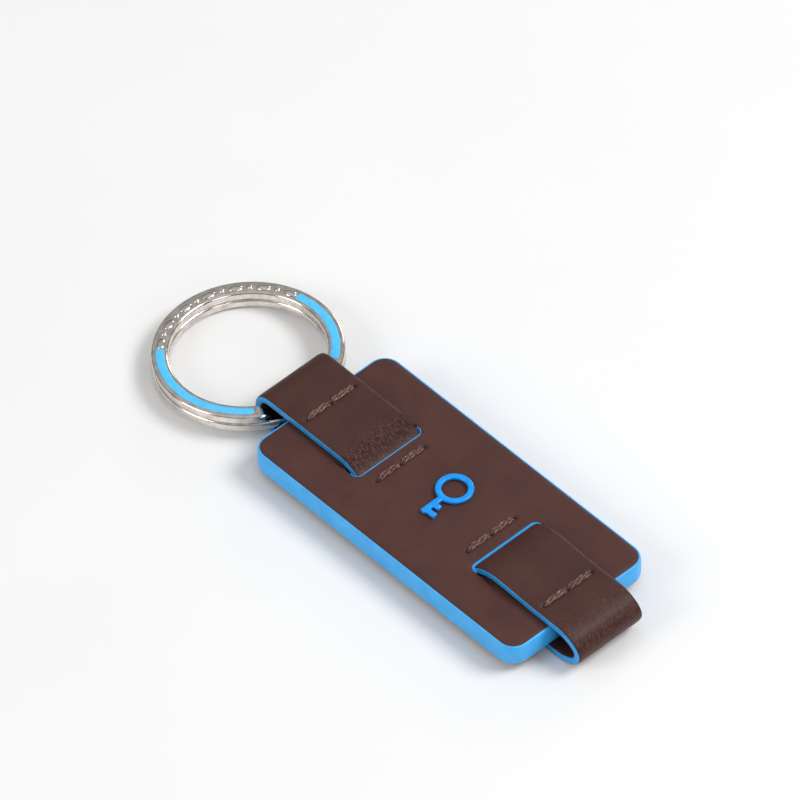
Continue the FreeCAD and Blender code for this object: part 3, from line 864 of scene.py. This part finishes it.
def crease(distance, across, bend):
    """Fine lines across the strap, deeper where it bends."""
    wander = ripple(distance, across, 0, 0.25, CREASE_WANDER)
    lines = noise.noise(Vector(((distance + wander) * 2.2 / MM, across * 0.16 / MM, 3.7)))
    broad = noise.noise(Vector(((distance + wander) * 0.9 / MM, across * 0.1 / MM, 9.1)))
    return -(abs(lines) + max(0.0, broad) * 0.8) * CREASE_DEPTH * bend


def bend_amount(distance):
    """0 on a straight run, up to 1 where the route turns quickly."""
    first = strap_route.at(distance - BEND_REACH)[1]
    second = strap_route.at(distance + BEND_REACH)[1]
    return min(1.0, first.angle(second, 0.0) / FULL_BEND)


def bent_place(distance, across, height):
    """Where a point of the flat slab goes. height is from the slab's middle, outwards positive."""
    place, heading = strap_route.at(distance)
    outward = Vector((heading.y, -heading.x))
    if height > 0:
        share = height / HALF
        if place.y > MID:
            height -= needle_dent(place.x, across, OUTER_ROWS, STRAP_VALLEY) * share
        inset = STRAP_WIDTH / 2 - abs(across)
        fade = 1 - hill(inset, EDGE_ROLLS[0][1])
        height += crease(distance, across, FLAT_CREASE + bend_amount(distance)) * share * fade
        height -= sum(depth * hill(inset, reach) for depth, reach in EDGE_ROLLS) * share
    point = place + outward * height
    return Vector((point.x, across, point.y))


PLEATS_AT_RING, PLEATS_AT_SLOT, PLEATS_AT_LOOP_SLOT, PLEATS_AT_NOSE = 0.12, 1.0, 0.08, 0.5


def pleated(point):
    """How strongly a bend is pleated, which sets its pleat bumps and their painted highlight and shade:
    most where the strap dives at its ring end, less at the nose, where only the upper side is."""
    if point.x < FOB_LOW[0]:
        return PLEATS_AT_RING
    if point.x < FOB_X:
        return PLEATS_AT_SLOT
    if point.x < FOB_HIGH[0]:
        return PLEATS_AT_LOOP_SLOT
    return PLEATS_AT_NOSE * min(1.0, max(0.1, (point.z - MID) / MM - 0.3))


def strap_slab():
    mesh = slab(strap_route.length, LEATHER_WIDE, STRAP_STEP)
    flat_layer = mesh.verts.layers.float_vector.new("flat")
    wrinkle_layer = mesh.verts.layers.float.new("wrinkle")
    hole_layer = mesh.verts.layers.float.new("pierced")
    thicken(mesh, STRAP_THICK)
    for vert in mesh.verts:
        distance, across, height = vert.co.x + strap_route.length / 2, vert.co.y, vert.co.z + HALF
        vert[flat_layer] = (distance, across, height)
        vert.co = bent_place(distance, across, height)
        vert[wrinkle_layer] = bend_amount(distance) * pleated(vert.co)
        if height > 0 and vert.co.z > MID:
            vert[hole_layer] = pierced(vert.co.x, across, OUTER_ROWS)
    bmesh.ops.recalc_face_normals(mesh, faces=mesh.faces[:])
    return mesh


def strap_edges():
    """The painted bead along both long edges: an oval tube along the flat slab, then bent with it."""
    whole = bmesh.new()
    for side in (-1, 1):
        mesh = bmesh.new()
        verts, edges = oval_section(mesh, PAINT_DEEP, PAINT_HIGH, PAINT_SQUARE, PAINT_SIDES)
        bmesh.ops.contextual_create(mesh, geom=edges)
        middle = side * (STRAP_WIDTH / 2 - PAINT_DEEP)
        bmesh.ops.translate(mesh, verts=verts, vec=(0, middle, 0))
        steps = round(strap_route.length / STRAP_STEP)
        for _ in range(steps):
            edges = extruded(mesh, edges, (strap_route.length / steps, 0, 0))
        bmesh.ops.contextual_create(mesh, geom=edges)
        for vert in mesh.verts:
            thin_spot = min(0.0, noise.noise(Vector((vert.co.x / MM * 0.5, side * 7.0, 0))))
            across = middle + (vert.co.y - middle) * (1 + thin_spot * PAINT_WEAR)
            place, heading = strap_route.at(vert.co.x)
            point = place + Vector((heading.y, -heading.x)) * vert.co.z
            vert.co = (point.x, across, point.y)
        bmesh.ops.recalc_face_normals(mesh, faces=mesh.faces[:])
        part = bpy.data.meshes.new("edge_part")
        mesh.to_mesh(part)
        mesh.free()
        whole.from_mesh(part)
        bpy.data.meshes.remove(part)
    return whole


STRETCHES = ["strap_ring_end", "strap_ring_loop", "strap_loop_end"]
strap = finish_piece("strap_leather", strap_slab(), STRAP_LEATHER, None, STRETCHES)
strap_paint = finish_piece("strap_painted_edges", strap_edges(), STRAP_PAINT, None,
                           [stretch + "_paint" for stretch in STRETCHES])
for piece in (strap, strap_paint):
    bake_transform(piece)

# %% [markdown]
# ## Stitches
# Thick waxed thread is three plies twisted together. Each stitch rises out of one hole, arches
# over the leather and goes down the next. Each ply is a curve round that arch, turned into a mesh.
# The outer rows go right through, so they show again, sunk in, on the underside.

# %% Stitches
PLY = 0.25 * MM
TWIST = 6.4 * MM
PLY_APART = 0.36 * MM
PLY_ABOVE = 0.13 * MM
PLY_STEPS = 46
PLIES = 3
STITCH_INSET = 0.05
STITCH_TURN = 0.9
LOOK_AHEAD = 0.02
TOP_DEEP, TOP_PROUD = 0.8 * MM, 0.13 * MM
UNDER_DEEP, UNDER_SUNK = 0.9 * MM, 0.5 * MM


def curve_mesh(name, thickness, roundness, strokes):
    """A mesh of round strokes. Each stroke is its points, their radii or None, and if it is closed."""
    curve = bpy.data.curves.new(name, "CURVE")
    curve.dimensions = "3D"
    curve.bevel_depth = thickness
    curve.bevel_resolution = roundness
    curve.use_fill_caps = True
    for points, radii, closed in strokes:
        spline = curve.splines.new("POLY")
        spline.points.add(len(points) - 1)
        for index, point in enumerate(points):
            spline.points[index].co = (*point, 1)
            if radii:
                spline.points[index].radius = radii[index]
        spline.use_cyclic_u = closed
    return settled(name, curve)


def settled(name, data, adjust=None):
    """The mesh that an object ends up with, after its curve or its modifiers are worked out."""
    holder = bpy.data.objects.new(name + "_holder", data)
    bpy.context.scene.collection.objects.link(holder)
    if adjust:
        adjust(holder)
    bpy.context.view_layer.update()
    mesh = bpy.data.meshes.new_from_object(holder.evaluated_get(bpy.context.evaluated_depsgraph_get()))
    bpy.data.objects.remove(holder)
    return mesh


def stitch_arch(part, start_y, face):
    """A point along one stitch, part from 0 to 1.

    A face is +1 on top or -1 underneath, its height, how deep the ends go and how proud the arch is.
    """
    way, surface, deep, proud = face
    y = start_y + PITCH * (STITCH_INSET + (1 - 2 * STITCH_INSET) * part)
    rise = min(1.0, math.sin(math.pi * part) * 2.9)
    return Vector((0, y, surface + way * (-deep + (deep + proud) * rise ** 0.7)))


def ply_points(x, start_y, face, phase):
    points = []
    for index in range(PLY_STEPS + 1):
        part = index / PLY_STEPS
        ahead = stitch_arch(min(1.0, part + LOOK_AHEAD), start_y, face)
        behind = stitch_arch(max(0.0, part - LOOK_AHEAD), start_y, face)
        heading = (ahead - behind).normalized()
        side = Vector((1, 0, 0))
        up = side.cross(heading)
        turn = phase + math.tau * part * PITCH / TWIST
        squeeze = 0.75 + 0.25 * min(1.0, math.sin(math.pi * part) * 2)
        offset = (side * math.cos(turn) * PLY_APART + up * math.sin(turn) * PLY_ABOVE) * squeeze
        points.append(Vector((x, 0, 0)) + stitch_arch(part, start_y, face) + offset)
    return points


def thread_strokes(x, faces):
    strokes = []
    for face in faces:
        for index in (-1, 0):
            for ply in range(PLIES):
                phase = ply * math.tau / PLIES + index * STITCH_TURN
                points = ply_points(x, index * PITCH, face, phase)
                radii = [0.95 + 0.2 * noise.noise(point * 1.1 / MM) for point in points]
                strokes.append((points, radii, False))
    return strokes


for row_name in ROW_NAMES:
    outer = row_name.endswith("outer")
    faces = [(1, FOB_TOP + (STRAP_THICK if outer else 0.0), TOP_DEEP, TOP_PROUD)]
    if outer:
        faces.append((-1, 0.0, UNDER_DEEP, -UNDER_SUNK))
    thread = curve_mesh(row_name, PLY, 3, thread_strokes(ROW_X[row_name], faces))
    thread.name = row_name + "_thread"
    dress_piece(row_name + "_thread", thread, THREAD, "fob", [row_name])

# %% [markdown]
# ## Emblem
# A plain key shape, cast in one piece: round at the sides, flat on top. Its strokes are curves,
# fused by a remesh so that they run into each other with small fillets, as cast metal does.

# %% Emblem
EMBLEM_LOW, EMBLEM_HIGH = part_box("emblem")
WIRE = 0.55 * MM
EMBLEM_X = (EMBLEM_LOW[0] + EMBLEM_HIGH[0]) / 2
BOW = EMBLEM_X - EMBLEM_LOW[0] - WIRE
TIP_LENGTH = 0.8 * MM
BIT_PITCH = 1.7 * MM
LONG_BIT = 2.2 * MM
SHORT_BIT = 1.5 * MM
FLAT_TOP = 0.34 * MM
BOW_SIDES = 48
BOW_Y = EMBLEM_HIGH[1] - WIRE - BOW
SHAFT_END = EMBLEM_LOW[1] + WIRE
WIRE_Z = EMBLEM_HIGH[2] - WIRE


def emblem_strokes():
    bow = [(EMBLEM_X + BOW * math.cos(turn), BOW_Y + BOW * math.sin(turn), WIRE_Z)
           for turn in (math.tau * index / BOW_SIDES for index in range(BOW_SIDES))]
    shaft = [(EMBLEM_X, BOW_Y - BOW, WIRE_Z), (EMBLEM_X, SHAFT_END, WIRE_Z)]
    strokes = [(bow, None, True), (shaft, None, False)]
    first_bit = SHAFT_END + TIP_LENGTH
    for length, y in ((LONG_BIT, first_bit), (SHORT_BIT, first_bit + BIT_PITCH)):
        strokes.append(([(EMBLEM_X, y, WIRE_Z), (EMBLEM_X + length, y, WIRE_Z)], None, False))
    return strokes


def cast(holder):
    """Fuses the strokes and smooths the casting."""
    fuse = holder.modifiers.new("fuse", "REMESH")
    fuse.mode = "VOXEL"
    fuse.voxel_size = 0.11 * MM
    soften = holder.modifiers.new("soften", "SMOOTH")
    soften.factor = 0.6
    soften.iterations = 5


emblem = curve_mesh("emblem", WIRE, 6, emblem_strokes())
for vert in emblem.vertices:
    vert.co.z = min(vert.co.z, WIRE_Z + FLAT_TOP)
dress_piece("key_emblem", settled("emblem", emblem, cast), LACQUER, "fob", ["emblem"])

# %% [markdown]
# ## Split ring
# Flat wire wound twice. The section is spun round the ring: the lower turn stays level, then a
# short ramp under the strap climbs to the upper turn. The spin starts and ends at the wire's two
# cut ends, and the upper one is cut at a slant. Plain beads stand on a stretch of the top face.

# %% Split ring
RING_OUTER = 16.0 * MM
RING_INNER = 13.1 * MM
TURN = 1.62 * MM
STACK = 1.65 * MM
WIRE_CORNER = 0.42 * MM
END_ANGLE = 34.0
LEVEL_STEPS = 150
RAMP_STEPS = 20
INLAY_R = 14.45 * MM
INLAY_HALF = 0.72 * MM
SLANT_INNER, SLANT_OUTER = 3.0, -4.4


def wire_section(mesh):
    """A rounded rectangle in the XZ plane."""
    half = (RING_OUTER - RING_INNER) / 2
    in_x, in_z = half - WIRE_CORNER, TURN / 2 - WIRE_CORNER
    verts = []
    for quarter, (way_x, way_z) in enumerate(((1, 1), (-1, 1), (-1, -1), (1, -1))):
        for step in range(7):
            turn = math.radians(90 * quarter + 15 * step)
            x = way_x * in_x + WIRE_CORNER * math.cos(turn)
            z = way_z * in_z + WIRE_CORNER * math.sin(turn)
            verts.append(mesh.verts.new((RING_INNER + half + x, 0, z)))
    return verts, mesh.faces.new(verts)


def wound_ring():
    mesh = bmesh.new()
    verts, face = wire_section(mesh)
    bmesh.ops.translate(mesh, verts=verts, vec=(0, 0, -STACK + TURN / 2))
    bmesh.ops.rotate(mesh, verts=verts, cent=(0, 0, 0),
                     matrix=Matrix.Rotation(math.radians(END_ANGLE), 3, "Z"))
    edges = list(face.edges)
    level_leg = (360 - 2 * END_ANGLE, LEVEL_STEPS, 0.0)
    ramp_legs = []
    for index in range(RAMP_STEPS):
        first, second = index / RAMP_STEPS, (index + 1) / RAMP_STEPS
        climb = (second ** 2 * (3 - 2 * second) - first ** 2 * (3 - 2 * first)) * (2 * STACK - TURN)
        ramp_legs.append((2 * END_ANGLE / RAMP_STEPS, 2, climb))
    for angle, steps, climb in [level_leg, *ramp_legs, level_leg]:
        made = bmesh.ops.spin(mesh, geom=edges, cent=(0, 0, 0), axis=(0, 0, 1),
                              dvec=(0, 0, climb / steps), angle=math.radians(angle), steps=steps)
        edges = edges_of(made["geom_last"])
    bmesh.ops.contextual_create(mesh, geom=edges)
    for vert in {vert for edge in edges for vert in edge.verts}:
        part = (math.hypot(vert.co.x, vert.co.y) - RING_INNER) / (RING_OUTER - RING_INNER)
        slant = math.radians(-SLANT_INNER + (SLANT_INNER - SLANT_OUTER) * part)
        vert.co = Matrix.Rotation(slant, 3, "Z") @ vert.co
    bmesh.ops.recalc_face_normals(mesh, faces=mesh.faces[:])
    return mesh


ring = wound_ring()
ring.transform(RING_PLACE)
finish_piece("wound_split_ring", ring, NICKEL, "ring", ["split_ring"])

# %% [markdown]
# ## Raised beads
# A plain row of domed ovals and dots stands on the top face between the two inlays, as a grip
# and an ornament. Ovals and dots take turns, so that the row can't be read as lettering.

# %% Beads
BEADS = 13
BEAD_START, BEAD_END = 108.0, 219.0
BEAD_PROUD = 0.3 * MM
DOT = (0.5 * MM, 0.5 * MM)
OVAL = (0.72 * MM, 1.2 * MM)


def bead_row():
    whole = bmesh.new()
    for index in range(BEADS):
        turn = math.radians(BEAD_START + (BEAD_END - BEAD_START) * index / (BEADS - 1))
        wide, long = DOT if index % 2 else OVAL
        place = Matrix.Rotation(turn, 4, "Z") @ Matrix.Translation((INLAY_R, 0, STACK))
        shape = Matrix.Diagonal((wide, long, BEAD_PROUD, 1))
        bmesh.ops.create_uvsphere(whole, u_segments=24, v_segments=14, radius=1,
                                  matrix=RING_PLACE @ place @ shape)
    return whole


finish_piece("ring_beads", bead_row(), NICKEL, "ring")


# %% [markdown]
# ## Enamel inlays
# Each inlay is a strip with rounded corners, wrapped round the ring and very slightly domed, as enamel
# settles in its cell.

# %% Enamel
ENAMEL_STEP = 0.12 * MM
ENAMEL_THICK = 0.3 * MM
ENAMEL_DOME = 0.07 * MM
ENAMEL_CORNER = INLAY_HALF * 0.55


def enamel_strip(node_name, start, end):
    length = math.radians(end - start) * INLAY_R + 2 * INLAY_HALF
    mesh = slab(length, 2 * INLAY_HALF, ENAMEL_STEP)
    thicken(mesh, ENAMEL_THICK)
    for vert in mesh.verts:
        x, y = round_corner(vert.co.x, vert.co.y, length / 2, INLAY_HALF, ENAMEL_CORNER)
        on_top = vert.co.z > -ENAMEL_THICK / 2
        dome = ENAMEL_DOME * (1 - (y / INLAY_HALF) ** 2) if on_top else 0.0
        turn = math.radians((start + end) / 2) + x / INLAY_R
        radius = INLAY_R + y
        vert.co = (radius * math.cos(turn), radius * math.sin(turn), STACK + vert.co.z + dome)
    mesh.transform(RING_PLACE)
    bmesh.ops.recalc_face_normals(mesh, faces=mesh.faces[:])
    finish_piece(node_name + "_strip", mesh, ENAMEL, "ring", [node_name])


enamel_strip("ring_enamel_near", -133.0, -42.0)
enamel_strip("ring_enamel_far", 38.0, 100.0)

# %% [markdown]
# ## What stays from the frame
# The core board and the emblem's backing plate are inside the fob. Their CAD shape is right, so
# they only get a finish.

# %% Inner parts
for node_name, material in (("core_board", BOARD), ("emblem_backing_plate", PLATE_STEEL)):
    inner = frame["nodes"][node_name]
    inner.data.materials.clear()
    inner.data.materials.append(material)
